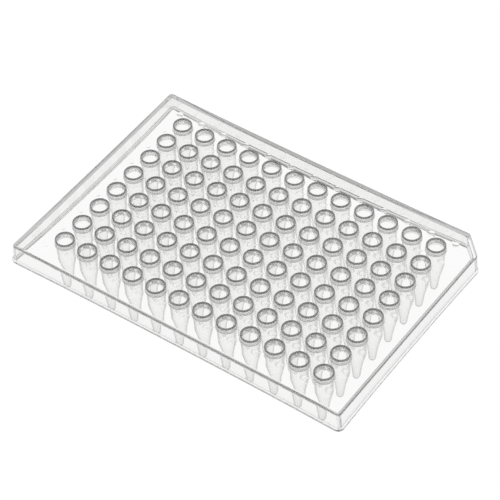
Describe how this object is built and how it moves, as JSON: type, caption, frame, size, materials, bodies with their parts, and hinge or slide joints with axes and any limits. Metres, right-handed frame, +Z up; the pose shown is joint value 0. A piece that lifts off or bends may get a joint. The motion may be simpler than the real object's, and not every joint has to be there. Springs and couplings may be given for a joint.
{
  "type": "well plate",
  "caption": "Clear one-piece well plate for PCR: a flat deck with raised-rim tapered wells, a half-height skirt with a foot lip, and a cut corner.",
  "frame": {"origin": "centre of the plate's footprint, on the surface that its tube tips stand on", "axes": "+X from column 1 to column 12, +Y from row H to row A, +Z up out of the well mouths"},
  "size_m": [0.1266, 0.087, 0.021],
  "materials": {
    "clear_plastic": "clear, smooth injection-moulded plastic"
  },
  "bodies": {
    "root": {"well_plate": "clear_plastic"}
  },
  "joints": []
}
